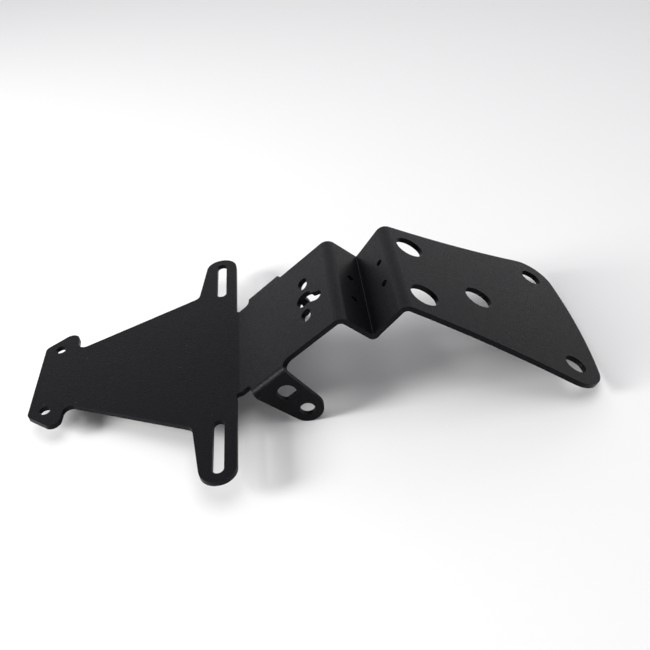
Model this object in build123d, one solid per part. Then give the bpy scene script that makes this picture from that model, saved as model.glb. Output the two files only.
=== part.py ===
"""Tail tidy: one folded sheet steel bracket that carries a number plate, its light and two indicators.

The sheet is a long strip. From left to right it is a number plate panel, a sloping arm with a side tab
turned down at each edge, a narrow upstanding fold, and a mount plate. Sizes are in millimetres.

Each flat has its own plane on the sheet's top face. There x runs along the strip from the fold that the
flat starts at, y runs across the strip, and z stands out of the top face. Folds are given by where the
top faces of two flats would meet if the corner were sharp.
"""

import os
from math import asin, atan2, cos, degrees, radians, sin, tan

from build123d import *

# Sheet
sheet = 3.0
inside_radius = 2.0
ridge_inside_radius = 3.0
valley_inside_radius = 0.4

# Folds along the strip, in degrees turned
panel_fold = 35.3
ridge_1_fold = 80.4
valley_fold = 92.2
ridge_2_fold = 79.5

# Flats between the folds
arm_length = 73.5
flank_1_length = 22.3
flank_2_length = 25.3
arm_half_width = 37.1

# Number plate panel, with an ear at each corner of its free end
panel_length = 119.5
panel_root_half_width = 56.7
panel_end_half_width = 23.2
ear_length = 20.2
ear_tip_length = 19.0
ear_tip_half_width = 43.2
ear_corner_half_width = 29.0
ear_root_radius = 4.2
ear_tip_radius = 4.9
ear_corner_radius = 4.0
ear_hole_radius = 3.15
ear_hole_inset = 9.4
ear_hole_half_spacing = 26.1

# Wings beside the panel's fold, each with a long slot
wing_setback = 1.8
wing_tip_width = 18.5
wing_root_width = 24.1
wing_half_span = 96.2
wing_tip_radius = 9.5
wing_root_radius = 5.0
wing_slot_width = 6.0
wing_slot_length = 36.0
wing_slot_tip_margin = 5.4
wing_slot_setback = 11.4

# Relief notch between each wing and side tab
notch_depth = 1.0
notch_wing_radius = 1.6
notch_tab_radius = 3.0

# Side tabs, turned down from the arm's edges, for the indicators
tab_fold = 86.1
tab_half_spacing = 44.2
tab_start = 8.3
tab_width = 23.7
tab_drop = 37.5
tab_taper = 7.1
tab_end_flat = 0.35
tab_root_radius = 4.4
tab_hole_inset = 9.2
indicator_hole_radius = 5.3
indicator_hole_drop = 12.6
indicator_flat = 4.1
tab_small_hole_radius = 4.2
tab_small_hole_rise = 8.7

# Plate light: two fixing slots beside a cable hole that opens into a slanted slot
light_setback = 51.5
light_offset = -1.3
light_slot_width = 6.4
light_slot_length = 9.8
light_slot_half_spacing = 14.4
cable_hole_radius = 5.5
cable_slot_radius = 3.3
cable_slot_run = 10.0
cable_slot_slant = -28.0

# Cable tie holes, two in each flank of the fold
tie_hole_radius = 2.1
tie_hole_half_spacing = 9.8
tie_hole_setback_1 = 13.5
tie_hole_offset_1 = -2.1
tie_hole_setback_2 = 16.0
tie_hole_offset_2 = 0.5

# Mount plate
mount_length = 127.1
mount_neck_half_width = 38.9
mount_corner_setback = 6.6
mount_corner_half_width = 62.1
mount_corner_radius = 18.0
mount_edge_hollow = 2.95
front_hole_radius = 8.5
front_hole_setback = 15.5
front_hole_half_spacing = 23.1
middle_hole_radius = 8.45
middle_hole_setback = 54.4
middle_hole_offset = -6.3
rear_hole_radius = 6.5
rear_hole_inset = 19.1
rear_hole_half_spacing = 41.3

outside_radius = inside_radius + sheet
ridge_outside_radius = ridge_inside_radius + sheet
valley_outside_radius = valley_inside_radius + sheet


def heading(angle):
    """Unit vector in the side view, at an angle above the arm."""
    return Vector(cos(radians(angle)), 0, sin(radians(angle)))


def flat_plane(start, angle, towards=1):
    """Top face of a flat: x leaves its fold, z stands out of the sheet."""
    return Plane(start, x_dir=heading(angle) * towards, z_dir=heading(angle + 90))


# Angles of the flats above the arm, and the sharp corners where their top faces meet
flank_1_angle = -ridge_1_fold
flank_2_angle = flank_1_angle + valley_fold
mount_angle = flank_2_angle - ridge_2_fold
panel_corner = Vector(0, 0, 0)
ridge_1_corner = Vector(arm_length, 0, 0)
valley_corner = ridge_1_corner + heading(flank_1_angle) * flank_1_length
ridge_2_corner = valley_corner + heading(flank_2_angle) * flank_2_length

panel_plane = flat_plane(panel_corner, -panel_fold, towards=-1)
arm_plane = flat_plane(panel_corner, 0)
flank_1_plane = flat_plane(ridge_1_corner, flank_1_angle)
flank_2_plane = flat_plane(valley_corner, flank_2_angle)
mount_plane = flat_plane(ridge_2_corner, mount_angle)


def setback(radius, fold):
    """Length from a sharp corner to where the rounded fold begins, on the face with this radius."""
    return radius * tan(radians(fold) / 2)


panel_start = setback(inside_radius, panel_fold)
mount_start = setback(ridge_outside_radius, ridge_2_fold)
tab_flat_start = setback(outside_radius, tab_fold)
tab_bend_half_width = tab_half_spacing - tab_flat_start
notch_floor = arm_half_width - notch_depth
tab_end = tab_start + tab_width
tab_root_end = tab_end + tab_root_radius
tab_hole_line = tab_end - tab_hole_inset
past_tab_bend = tab_half_spacing + 2 * sheet

# The tab's end corners are rounded until only the stated flat is left between them
tab_taper_angle = degrees(atan2(tab_taper, tab_drop - tab_flat_start))
tab_end_corners = 1 + tan(radians(90 - tab_taper_angle) / 2)
tab_end_radius = (tab_width - tab_taper - tab_end_flat) / tab_end_corners

# The folded strip runs on by this much into the flats at its two ends
lap = sheet


def plate(plane, outline):
    """A flat of the sheet, its top face in the plane."""
    return extrude(plane * outline, -sheet)


def hole(plane, outline):
    """A cutter that passes square through one flat."""
    return extrude(plane * outline, amount=2 * sheet, both=True)


def pair(half_spacing, along, outline, offset=0):
    """The same outline twice, spaced evenly across the strip about a line at this offset."""
    return Pos(along, offset + half_spacing) * outline + Pos(along, offset - half_spacing) * outline


def fold_profile():
    """Side view of the sheet from the panel's fold to just past the mount plate's fold."""
    corners = [
        heading(180 - panel_fold) * (panel_start + lap),
        panel_corner,
        ridge_1_corner,
        valley_corner,
        ridge_2_corner,
        ridge_2_corner + heading(mount_angle) * (mount_start + lap),
    ]
    angles = [-panel_fold, 0, flank_1_angle, flank_2_angle, mount_angle]
    under = [corners[0] - heading(angles[0] + 90) * sheet]
    for corner, before, after in zip(corners[1:-1], angles, angles[1:]):
        mitre = sheet / cos(radians(after - before) / 2)
        under.append(corner - heading((before + after) / 2 + 90) * mitre)
    under.append(corners[-1] - heading(angles[-1] + 90) * sheet)
    top_radii = [inside_radius, ridge_outside_radius, valley_inside_radius, ridge_outside_radius]
    under_radii = [outside_radius, ridge_inside_radius, valley_outside_radius, ridge_inside_radius]
    top_edge = FilletPolyline(*corners, radius=top_radii)
    under_edge = FilletPolyline(*under, radius=under_radii)
    ends = [Line(corners[0], under[0]), Line(corners[-1], under[-1])]
    return make_face(Curve() + [top_edge, under_edge] + ends)


def strip_outline():
    """Plan of the arm and the fold, square to the arm, out to where the side tabs' bends begin."""
    start = panel_corner.X - panel_start - lap - sheet
    neck = ridge_2_corner.X + mount_start + lap + sheet
    taper_start = valley_corner.X + setback(valley_outside_radius, valley_fold)
    taper_end = ridge_2_corner.X - mount_start
    half = Polyline(
        (start, 0),
        (start, tab_bend_half_width),
        (tab_root_end, tab_bend_half_width),
        (tab_root_end, arm_half_width),
        (taper_start, arm_half_width),
        (taper_end, mount_neck_half_width),
        (neck, mount_neck_half_width),
        (neck, 0),
        close=True,
    )
    outline = make_face(half)
    return outline + mirror(outline, Plane.XZ)


def folded_strip():
    """The arm and the upstanding fold, bent from one width of sheet."""
    widest = max(tab_bend_half_width, mount_neck_half_width)
    strip = extrude(fold_profile(), amount=widest, both=True)
    drop = arm_length + flank_1_length + mount_length
    return strip & extrude(strip_outline(), amount=drop, both=True)


def panel_outline():
    """Number plate panel with its two wings and two ears."""
    ear_root = panel_length - ear_length
    ear_tip = panel_length - ear_tip_length
    half = FilletPolyline(
        (panel_start, 0),
        (panel_start, arm_half_width),
        (wing_setback, arm_half_width),
        (wing_setback, wing_half_span),
        (wing_setback + wing_tip_width, wing_half_span),
        (wing_setback + wing_root_width, panel_root_half_width),
        (ear_root, panel_end_half_width),
        (ear_tip, ear_tip_half_width),
        (panel_length, ear_corner_half_width),
        (panel_length, 0),
        radius=[
            0,
            0,
            0,
            wing_tip_radius,
            wing_tip_radius,
            wing_root_radius,
            ear_root_radius,
            ear_tip_radius,
            ear_corner_radius,
            0,
        ],
        close=True,
    )
    outline = make_face(half)
    return outline + mirror(outline, Plane.XZ)


def panel_holes():
    """Cutters for the ear holes and the long slots in the wings."""
    slot = Rot(0, 0, 90) * SlotOverall(wing_slot_length, wing_slot_width)
    slot_middle = wing_half_span - wing_slot_tip_margin - wing_slot_length / 2
    ear_holes = pair(ear_hole_half_spacing, panel_length - ear_hole_inset, Circle(ear_hole_radius))
    slots = pair(slot_middle, wing_slot_setback, slot)
    return hole(panel_plane, ear_holes + slots)


def notch_side(plane, start, end, radius):
    """Cutter for one side of a relief notch, from the panel's fold to the wing or the tab."""
    outline = FilletPolyline(
        (start, past_tab_bend),
        (start, notch_floor),
        (end, notch_floor),
        (end, past_tab_bend),
        radius=[0, 0, radius, 0],
        close=True,
    )
    return hole(plane, make_face(outline))


def relief_notches():
    """Cutters between the wings and the side tabs, square to the sheet on both sides of the fold."""
    notch = notch_side(panel_plane, -sheet, wing_setback, notch_wing_radius)
    notch += notch_side(arm_plane, 0, tab_start, notch_tab_radius)
    return notch + mirror(notch, Plane.XZ)


def side_tab():
    """Indicator tab at the far edge: a rounded bend and a tapered flat with a round end."""
    edge = Plane((0, tab_bend_half_width, 0), x_dir=(1, 0, 0), z_dir=(0, 1, 0))
    length = tab_root_end - tab_start
    section = edge * Pos(tab_start + length / 2, sheet / 2) * Rectangle(length, sheet)
    bend_axis = Axis((0, tab_bend_half_width, -outside_radius), (-1, 0, 0))
    bend = revolve(section, bend_axis, tab_fold)
    splay = heading(90 - tab_fold)
    face = Plane((0, tab_half_spacing, 0), x_dir=(1, 0, 0), z_dir=(0, splay.X, splay.Z))
    outline = make_face(
        FilletPolyline(
            (tab_start, tab_flat_start),
            (tab_start + tab_taper, tab_drop),
            (tab_end, tab_drop),
            (tab_end, tab_flat_start),
            radius=[0, tab_end_radius, tab_end_radius, 0],
            close=True,
        )
    )
    beyond_flat = Pos(0, indicator_flat + indicator_hole_radius) * Rectangle(
        2 * indicator_hole_radius, 2 * indicator_hole_radius
    )
    indicator_hole = Circle(indicator_hole_radius) - beyond_flat
    holes = Pos(tab_hole_line, indicator_hole_drop) * indicator_hole
    holes += Pos(tab_hole_line, tab_drop - tab_small_hole_rise) * Circle(tab_small_hole_radius)
    return bend + plate(face, outline) - hole(face, holes)


def tab_roots():
    """Cutters that round the corners between the arm's edges and the fronts of the side tabs."""
    past_root = tab_root_end + tab_root_radius
    outline = FilletPolyline(
        (tab_end, past_tab_bend),
        (tab_end, arm_half_width),
        (past_root, arm_half_width),
        (past_root, past_tab_bend),
        radius=[0, tab_root_radius, 0, 0],
        close=True,
    )
    root = hole(arm_plane, make_face(outline))
    return root + mirror(root, Plane.XZ)


def light_holes():
    """Cutters for the plate light: two short slots and the slotted cable hole between them."""
    slot = Rot(0, 0, 90) * SlotOverall(light_slot_length, light_slot_width)
    fixings = pair(light_slot_half_spacing, light_setback, slot, light_offset)
    branch = SlotCenterPoint((cable_slot_run / 2, 0), (cable_slot_run, 0), 2 * cable_slot_radius)
    cable_hole = Circle(cable_hole_radius) + Rot(0, 0, cable_slot_slant) * branch
    return hole(arm_plane, fixings + Pos(light_setback, light_offset) * cable_hole)


def tie_holes():
    """Cutters for the four cable tie holes in the fold's flanks."""
    round_hole = Circle(tie_hole_radius)
    first = pair(tie_hole_half_spacing, tie_hole_setback_1, round_hole, tie_hole_offset_1)
    second = pair(tie_hole_half_spacing, tie_hole_setback_2, round_hole, tie_hole_offset_2)
    return hole(flank_1_plane, first) + hole(flank_2_plane, second)


def mount_outline():
    """Mount plate: hollow sides that flare to two rounded corners and a slightly crowned end."""
    corner = (mount_length - mount_corner_setback, mount_corner_half_width)
    far_corner = (corner[0], -corner[1])
    neck = (mount_start, mount_neck_half_width)
    far_neck = (mount_start, -mount_neck_half_width)
    side = SagittaArc(neck, corner, -mount_edge_hollow)
    end = ThreePointArc(corner, (mount_length, 0), far_corner)
    far_side = SagittaArc(far_corner, far_neck, -mount_edge_hollow)
    outline = make_face(Curve() + [Line(far_neck, neck), side, end, far_side])
    corners = outline.vertices().filter_by(lambda v: v.X > mount_length / 2)
    return fillet(corners, mount_corner_radius)


def mount_holes():
    """Cutters for the mount plate's five holes."""
    front = pair(front_hole_half_spacing, front_hole_setback, Circle(front_hole_radius))
    middle = Pos(middle_hole_setback, middle_hole_offset) * Circle(middle_hole_radius)
    rear = pair(rear_hole_half_spacing, mount_length - rear_hole_inset, Circle(rear_hole_radius))
    return hole(mount_plane, front + middle + rear)


def resting_angle():
    """Slope of the arm when the part stands on its two side tabs and the mount plate's end."""
    foot = mount_plane.from_local_coords((mount_length, 0, -sheet))
    tab_centre_drop = (tab_drop - tab_end_radius) * sin(radians(tab_fold))
    centre = Vector(tab_end - tab_end_radius, 0, -tab_centre_drop)
    reach = foot - centre
    lean = degrees(asin(tab_end_radius / reach.length))
    return -degrees(atan2(reach.Z, reach.X)) - lean


def bent_sheet():
    """The whole bracket with its arm level."""
    tab = side_tab()
    body = folded_strip() + plate(panel_plane, panel_outline()) + plate(mount_plane, mount_outline())
    body += tab + mirror(tab, Plane.XZ)
    holes = panel_holes() + light_holes() + tie_holes() + mount_holes()
    return body - (relief_notches() + tab_roots() + holes)


def folded_plate():
    """The bracket as it stands, centred over its base."""
    body = bent_sheet().rotate(Axis.Y, -resting_angle())
    box = body.bounding_box()
    return Pos(-box.center().X, 0, -box.min.Z) * body


os.makedirs("parts", exist_ok=True)
export_step(folded_plate(), "parts/folded_plate.step")
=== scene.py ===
"""Tail tidy: the powder-coated sheet steel bracket on a plain studio floor.

All lengths are in metres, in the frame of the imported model: +X runs along the strip from the number
plate panel to the mount plate, +Z is up, and the part stands on z = 0.
"""

from math import radians

import bpy
from bpy.props import FloatProperty, FloatVectorProperty, IntProperty, PointerProperty
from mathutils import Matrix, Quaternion, Vector


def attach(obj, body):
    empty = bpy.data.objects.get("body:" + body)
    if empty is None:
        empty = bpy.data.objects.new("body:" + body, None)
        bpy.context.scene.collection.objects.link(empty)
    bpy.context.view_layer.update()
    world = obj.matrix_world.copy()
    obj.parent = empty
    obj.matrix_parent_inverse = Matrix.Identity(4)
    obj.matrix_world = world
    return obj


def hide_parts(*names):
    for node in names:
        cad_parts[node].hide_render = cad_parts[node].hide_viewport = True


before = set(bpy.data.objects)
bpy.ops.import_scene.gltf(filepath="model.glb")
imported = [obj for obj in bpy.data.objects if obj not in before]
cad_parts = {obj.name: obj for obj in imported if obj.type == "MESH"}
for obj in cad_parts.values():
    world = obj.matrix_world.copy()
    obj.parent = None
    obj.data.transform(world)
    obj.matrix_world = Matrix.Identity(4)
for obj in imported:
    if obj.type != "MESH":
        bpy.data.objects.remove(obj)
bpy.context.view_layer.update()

bl_info = {
    "name": "Tail tidy",
    "version": (1, 0, 0),
    "blender": (4, 5, 0),
    "location": "View3D > Sidebar > Tail tidy",
    "description": "Dresses the folded bracket in powder coat and sets a plain studio round it",
    "category": "Object",
}

MM = 0.001

# Points of the sheet's mesh that lie closer than this are one point.
WELD_DISTANCE = 0.002 * MM
# Faces that meet flatter than this are one face, so the coat's rounding has clean edges to follow.
FLAT_ANGLE = radians(0.3)
# Only laser-cut edges are sharper than this. The facets of bends and holes are flatter.
CUT_EDGE_ANGLE = radians(40)
# Faces that meet flatter than this are shaded as one curve.
SMOOTH_ANGLE = radians(50)

# Almost all of a noise texture's values lie between these two.
NOISE_LOW = 0.3
NOISE_HIGH = 0.7
# How much darker and lighter the broad patches and the grain make the coat.
MOTTLE_TONES = (0.90, 1.10)
GRAIN_TONES = (0.4, 1.6)
# Roughness in the grain's hollows and on its crowns, where the powder melted smoothest.
GRAIN_ROUGHNESS = (0.46, 0.3)
# A speck of dust fades out between these shares of its radius.
DUST_CORE = 0.6
DUST_RIM = 1.3

# The studio's walls, as light from far away. Each line takes one part of the direction: how far up it
# points, how far to either side, and how far away from the camera. It gives two values of that part,
# and then the brightness up to the first and from the second on.
SKY_HEIGHT = (0.54, 0.77, 1.35, 0.32)
SKY_SIDES = (0.38, 0.9, 1.04, 0.45)
SKY_FRONT = (-0.6, 0.1, 0.35, 1.0)
# The walls turn from a cooler to a warmer white between these two heights. The colours are linear.
TINT_HEIGHTS = (0.2, 0.6)
LOW_TINT = (0.955, 0.97, 1.0, 1.0)
HIGH_TINT = (0.98, 0.945, 1.0, 1.0)


def linear(hex_colour):
    """An sRGB hex colour as linear red, green and blue."""
    channels = [int(hex_colour[i : i + 2], 16) / 255 for i in (1, 3, 5)]
    return [c / 12.92 if c <= 0.04045 else ((c + 0.055) / 1.055) ** 2.4 for c in channels]


def add_node(tree, kind, settings=None, values=None, links=None):
    """One shader node with its settings, input values and links."""
    node = tree.nodes.new(kind)
    for name, value in (settings or {}).items():
        setattr(node, name, value)
    for socket, value in (values or {}).items():
        node.inputs[socket].default_value = value
    for socket, source in (links or {}).items():
        tree.links.new(source, node.inputs[socket])
    return node


def span(from_low, from_high, to_low=0.0, to_high=1.0):
    """The values that map one range to another in a Map Range node."""
    return {"From Min": from_low, "From Max": from_high, "To Min": to_low, "To Max": to_high}


def select_only(piece):
    """Makes one object the only one selected, and active."""
    bpy.ops.object.select_all(action="DESELECT")
    piece.select_set(True)
    bpy.context.view_layer.objects.active = piece


def apply_modifier(piece, kind, name, **settings):
    """Adds a modifier with its settings and applies it."""
    modifier = piece.modifiers.new(name, kind)
    for setting, value in settings.items():
        setattr(modifier, setting, value)
    select_only(piece)
    bpy.ops.object.modifier_apply(modifier=modifier.name)


class TailTidyPlate(bpy.types.PropertyGroup):
    """Shape of the coated sheet's edges."""

    edge_round: FloatProperty(
        name="Edge round",
        description="Radius that the coat gives the laser-cut edges",
        default=0.25 * MM,
        unit="LENGTH",
    )
    edge_segments: IntProperty(
        name="Edge segments",
        description="Faces across each rounded edge",
        default=3,
    )


class TailTidyCoat(bpy.types.PropertyGroup):
    """Colours and texture of the powder coat."""

    colour: FloatVectorProperty(
        name="Coat colour",
        description="Colour of the powder coat",
        subtype="COLOR",
        default=linear("#0d0d10"),
    )
    dust_colour: FloatVectorProperty(
        name="Dust colour",
        description="Colour of the specks of dust on the coat",
        subtype="COLOR",
        default=linear("#404144"),
    )
    peel_size: FloatProperty(
        name="Peel size",
        description="Width of the coat's orange peel ripples",
        default=2.0 * MM,
        unit="LENGTH",
    )
    peel_depth: FloatProperty(
        name="Peel depth",
        description="Depth of the orange peel ripples",
        default=0.14 * MM,
        unit="LENGTH",
    )
    grain_size: FloatProperty(
        name="Grain size",
        description="Width of the powder's fine grain",
        default=0.9 * MM,
        unit="LENGTH",
    )
    grain_depth: FloatProperty(
        name="Grain depth",
        description="Depth of the powder's fine grain",
        default=0.17 * MM,
        unit="LENGTH",
    )
    mottle_size: FloatProperty(
        name="Mottle size",
        description="Width of the broad patches of lighter and darker coat",
        default=14 * MM,
        unit="LENGTH",
    )
    dust_spacing: FloatProperty(
        name="Dust spacing",
        description="Distance between specks of dust",
        default=9 * MM,
        unit="LENGTH",
    )
    dust_radius: FloatProperty(
        name="Dust radius",
        description="Radius of a speck of dust",
        default=0.3 * MM,
        unit="LENGTH",
    )


class TailTidyStage(bpy.types.PropertyGroup):
    """Floor, light and camera."""

    floor_width: FloatProperty(
        name="Floor width",
        description="Width of the floor",
        default=8.0,
        unit="LENGTH",
    )
    floor_colour: FloatVectorProperty(
        name="Floor colour",
        description="Colour of the floor",
        subtype="COLOR",
        default=linear("#f7f7f6"),
    )
    key_power: FloatProperty(
        name="Key power",
        description="Power of the large light overhead",
        default=4.4,
        unit="POWER",
    )
    key_width: FloatProperty(
        name="Key width",
        description="Width of the large light overhead",
        default=0.9,
        unit="LENGTH",
    )
    key_place: FloatVectorProperty(
        name="Key place",
        description="Place of the large light overhead",
        subtype="XYZ",
        default=(0.0, 0.05, 1.1),
    )
    side_power: FloatProperty(
        name="Side power",
        description="Power of the soft light at the panel's end",
        default=14.0,
        unit="POWER",
    )
    side_width: FloatProperty(
        name="Side width",
        description="Width of the soft light at the panel's end",
        default=0.36,
        unit="LENGTH",
    )
    side_place: FloatVectorProperty(
        name="Side place",
        description="Place of the soft light at the panel's end",
        subtype="XYZ",
        default=(-1.08, -0.2, 0.53),
    )
    camera_place: FloatVectorProperty(
        name="Camera place",
        description="Place of the camera",
        subtype="XYZ",
        default=(0.00214, -0.34406, 0.30713),
    )
    camera_aim: FloatVectorProperty(
        name="Camera aim",
        description="Point at the middle of the camera's view",
        subtype="XYZ",
        default=(0.01004, -0.00219, 0.03011),
    )
    camera_roll: FloatProperty(
        name="Camera roll",
        description="Turn of the camera about its line of sight",
        default=radians(-6.28),
        unit="ROTATION",
    )
    camera_lens: FloatProperty(
        name="Camera lens",
        description="Focal length on a sensor 36 mm wide",
        default=42.7,
        unit="CAMERA",
    )


def powder_coat(coat):
    """Satin black polyester powder coat, baked on steel.

    It gives the eye a dark neutral grey with a soft broad sheen, a fine grain, slow orange peel ripples
    and a few pale specks of dust. The real grain is about 0.1 mm wide and the specks are smaller still,
    too fine to show, so both are drawn coarser here.
    """
    material = bpy.data.materials.new("satin_black_powder_coat")
    material.use_nodes = True
    tree = material.node_tree
    tree.nodes.clear()
    place = add_node(tree, "ShaderNodeTexCoord").outputs["Object"]

    peel, grain, mottle = (
        add_node(
            tree,
            "ShaderNodeTexNoise",
            values={"Scale": 1 / bump_width, "Detail": 3.0, "Roughness": 0.55},
            links={"Vector": place},
        ).outputs["Fac"]
        for bump_width in (coat.peel_size, coat.grain_size, coat.mottle_size)
    )
    mottle_tone, grain_tone, roughness = (
        add_node(
            tree,
            "ShaderNodeMapRange",
            values=span(NOISE_LOW, NOISE_HIGH, *results),
            links={"Value": noise},
        ).outputs["Result"]
        for noise, results in (
            (mottle, MOTTLE_TONES),
            (grain, GRAIN_TONES),
            (grain, GRAIN_ROUGHNESS),
        )
    )

    tone = add_node(
        tree,
        "ShaderNodeMath",
        settings={"operation": "MULTIPLY"},
        links={0: mottle_tone, 1: grain_tone},
    )
    shaded = add_node(
        tree,
        "ShaderNodeVectorMath",
        settings={"operation": "SCALE"},
        values={0: coat.colour},
        links={"Scale": tone.outputs["Value"]},
    )
    cells = add_node(
        tree,
        "ShaderNodeTexVoronoi",
        values={"Scale": 1 / coat.dust_spacing},
        links={"Vector": place},
    )
    reach = coat.dust_radius / coat.dust_spacing
    dust = add_node(
        tree,
        "ShaderNodeMapRange",
        values=span(DUST_CORE * reach, DUST_RIM * reach, 1.0, 0.0),
        links={"Value": cells.outputs["Distance"]},
    )
    colour = add_node(
        tree,
        "ShaderNodeMix",
        settings={"data_type": "RGBA"},
        values={"B": (*coat.dust_colour, 1.0)},
        links={"Factor": dust.outputs["Result"], "A": shaded.outputs["Vector"]},
    )
    ripples = add_node(
        tree,
        "ShaderNodeBump",
        values={"Strength": 0.5, "Distance": coat.peel_depth},
        links={"Height": peel},
    )
    texture = add_node(
        tree,
        "ShaderNodeBump",
        values={"Strength": 0.8, "Distance": coat.grain_depth},
        links={"Height": grain, "Normal": ripples.outputs["Normal"]},
    )
    # The fillers that make the coat satin also make it mirror less than clear polyester does.
    shader = add_node(
        tree,
        "ShaderNodeBsdfPrincipled",
        values={"Specular IOR Level": 0.08},
        links={
            "Base Color": colour.outputs["Result"],
            "Roughness": roughness,
            "Normal": texture.outputs["Normal"],
        },
    )
    add_node(tree, "ShaderNodeOutputMaterial", links={"Surface": shader.outputs["BSDF"]})
    return material


def matt_paper(colour):
    """Matt white paper under the part: an even, pale floor."""
    material = bpy.data.materials.new("matt_white_paper")
    material.use_nodes = True
    shader = material.node_tree.nodes["Principled BSDF"]
    shader.inputs["Base Color"].default_value = (*colour, 1.0)
    shader.inputs["Roughness"].default_value = 0.9
    shader.inputs["Specular IOR Level"].default_value = 0.1
    return material


class TAILTIDY_OT_coated_plate(bpy.types.Operator):
    """Copies the folded sheet, rounds its cut edges and gives it the powder coat"""

    bl_idname = "tail_tidy.coated_plate"
    bl_label = "Coated plate"

    def execute(self, context):
        edges = context.scene.tail_tidy_plate
        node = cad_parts["folded_plate"]
        plate = node.copy()
        plate.data = node.data.copy()
        plate.name = plate.data.name = "coated_plate"
        context.scene.collection.objects.link(plate)
        for key in list(plate.keys()):
            del plate[key]
        plate.parent = None
        select_only(plate)

        bpy.ops.object.mode_set(mode="EDIT")
        bpy.ops.mesh.select_all(action="SELECT")
        bpy.ops.mesh.remove_doubles(threshold=WELD_DISTANCE)
        bpy.ops.mesh.dissolve_limited(angle_limit=FLAT_ANGLE)
        bpy.ops.object.mode_set(mode="OBJECT")
        bpy.ops.mesh.customdata_custom_splitnormals_clear()

        apply_modifier(
            plate,
            "BEVEL",
            "edge_round",
            width=edges.edge_round,
            segments=edges.edge_segments,
            limit_method="ANGLE",
            angle_limit=CUT_EDGE_ANGLE,
            miter_outer="MITER_ARC",
        )
        bpy.ops.object.shade_smooth_by_angle(angle=SMOOTH_ANGLE)
        apply_modifier(plate, "WEIGHTED_NORMAL", "flat_faces_stay_flat", keep_sharp=True, weight=100)

        plate.data.materials.clear()
        plate.data.materials.append(powder_coat(context.scene.tail_tidy_coat))
        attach(plate, "root")
        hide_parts("folded_plate")
        return {"FINISHED"}


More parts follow.
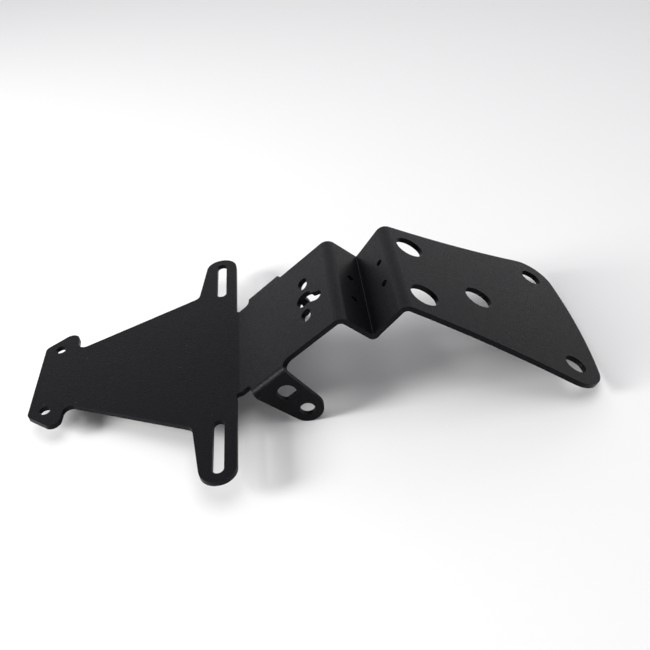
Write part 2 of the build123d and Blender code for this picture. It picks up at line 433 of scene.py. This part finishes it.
class TAILTIDY_OT_stage(bpy.types.Operator):
    """Adds the pale floor, the soft light and the camera"""

    bl_idname = "tail_tidy.stage"
    bl_label = "Stage"

    def execute(self, context):
        stage = context.scene.tail_tidy_stage
        bpy.ops.object.select_all(action="DESELECT")
        bpy.ops.mesh.primitive_plane_add(size=stage.floor_width, location=(0, 0, 0))
        floor = context.object
        floor.name = "floor"
        floor.data.materials.append(matt_paper(stage.floor_colour))
        self.add_sky(context)
        for name, place, power, width in (
            ("key_light", stage.key_place, stage.key_power, stage.key_width),
            ("side_light", stage.side_place, stage.side_power, stage.side_width),
        ):
            self.add_soft_light(context, name, place, power, width)
        self.add_camera(context, stage)
        return {"FINISHED"}

    def add_sky(self, context):
        """Studio light from all round, dimmer overhead, at the sides and from behind the camera."""
        world = bpy.data.worlds.new("studio")
        world.use_nodes = True
        tree = world.node_tree
        tree.nodes.clear()
        direction = add_node(tree, "ShaderNodeTexCoord").outputs["Generated"]
        split = add_node(tree, "ShaderNodeSeparateXYZ", links={"Vector": direction})
        sideways = add_node(
            tree,
            "ShaderNodeMath",
            settings={"operation": "ABSOLUTE"},
            links={0: split.outputs["X"]},
        )
        height, side, front = (
            add_node(
                tree,
                "ShaderNodeMapRange",
                settings={"interpolation_type": "SMOOTHSTEP"},
                values=span(*fade),
                links={"Value": share},
            ).outputs["Result"]
            for share, fade in (
                (split.outputs["Z"], SKY_HEIGHT),
                (sideways.outputs["Value"], SKY_SIDES),
                (split.outputs["Y"], SKY_FRONT),
            )
        )
        dimmed = add_node(
            tree,
            "ShaderNodeMath",
            settings={"operation": "MULTIPLY"},
            links={0: side, 1: front},
        )
        strength = add_node(
            tree,
            "ShaderNodeMath",
            settings={"operation": "MULTIPLY"},
            links={0: height, 1: dimmed.outputs["Value"]},
        )
        upper = add_node(
            tree,
            "ShaderNodeMapRange",
            values=span(*TINT_HEIGHTS),
            links={"Value": split.outputs["Z"]},
        )
        tint = add_node(
            tree,
            "ShaderNodeMix",
            settings={"data_type": "RGBA"},
            values={"A": LOW_TINT, "B": HIGH_TINT},
            links={"Factor": upper.outputs["Result"]},
        )
        light = add_node(
            tree,
            "ShaderNodeBackground",
            links={"Color": tint.outputs["Result"], "Strength": strength.outputs["Value"]},
        )
        add_node(tree, "ShaderNodeOutputWorld", links={"Surface": light.outputs["Background"]})
        context.scene.world = world

    def add_soft_light(self, context, name, place, power, width):
        """A square soft light that faces the part."""
        light = bpy.data.lights.new(name, "AREA")
        light.energy = power
        light.size = width
        lamp = bpy.data.objects.new(name, light)
        lamp.location = place
        aim = Vector(context.scene.tail_tidy_stage.camera_aim) - lamp.location
        lamp.rotation_mode = "QUATERNION"
        lamp.rotation_quaternion = aim.to_track_quat("-Z", "Y")
        context.scene.collection.objects.link(lamp)

    def add_camera(self, context, stage):
        """The camera, where the photographer stood."""
        data = bpy.data.cameras.new("camera")
        data.lens = stage.camera_lens
        data.sensor_width = 36.0
        data.clip_start = 10 * MM
        camera = bpy.data.objects.new("camera", data)
        camera.location = stage.camera_place
        aim = Vector(stage.camera_aim) - camera.location
        roll = Quaternion((0, 0, 1), stage.camera_roll)
        camera.rotation_mode = "QUATERNION"
        camera.rotation_quaternion = aim.to_track_quat("-Z", "Y") @ roll
        context.scene.collection.objects.link(camera)
        context.scene.camera = camera


class TAILTIDY_PT_panel(bpy.types.Panel):
    """Lists the sizes, colours and steps of the tail tidy"""

    bl_idname = "TAILTIDY_PT_panel"
    bl_label = "Tail tidy"
    bl_space_type = "VIEW_3D"
    bl_region_type = "UI"
    bl_category = "Tail tidy"

    def draw(self, context):
        for settings, operator in (
            (context.scene.tail_tidy_plate, None),
            (context.scene.tail_tidy_coat, "tail_tidy.coated_plate"),
            (context.scene.tail_tidy_stage, "tail_tidy.stage"),
        ):
            box = self.layout.box()
            for name in settings.__annotations__:
                box.prop(settings, name)
            if operator:
                box.operator(operator)


CLASSES = (
    TailTidyPlate,
    TailTidyCoat,
    TailTidyStage,
    TAILTIDY_OT_coated_plate,
    TAILTIDY_OT_stage,
    TAILTIDY_PT_panel,
)


def register():
    """Adds the classes and the scene's settings."""
    for item in CLASSES:
        bpy.utils.register_class(item)
    bpy.types.Scene.tail_tidy_plate = PointerProperty(type=TailTidyPlate)
    bpy.types.Scene.tail_tidy_coat = PointerProperty(type=TailTidyCoat)
    bpy.types.Scene.tail_tidy_stage = PointerProperty(type=TailTidyStage)


def unregister():
    """Takes the scene's settings and the classes away again."""
    del bpy.types.Scene.tail_tidy_stage
    del bpy.types.Scene.tail_tidy_coat
    del bpy.types.Scene.tail_tidy_plate
    for item in reversed(CLASSES):
        bpy.utils.unregister_class(item)


def main():
    """Builds the pieces and the stage."""
    register()
    bpy.ops.tail_tidy.coated_plate()
    bpy.ops.tail_tidy.stage()
    bpy.context.scene.view_settings.view_transform = "Standard"


if __name__ == "__main__":
    main()
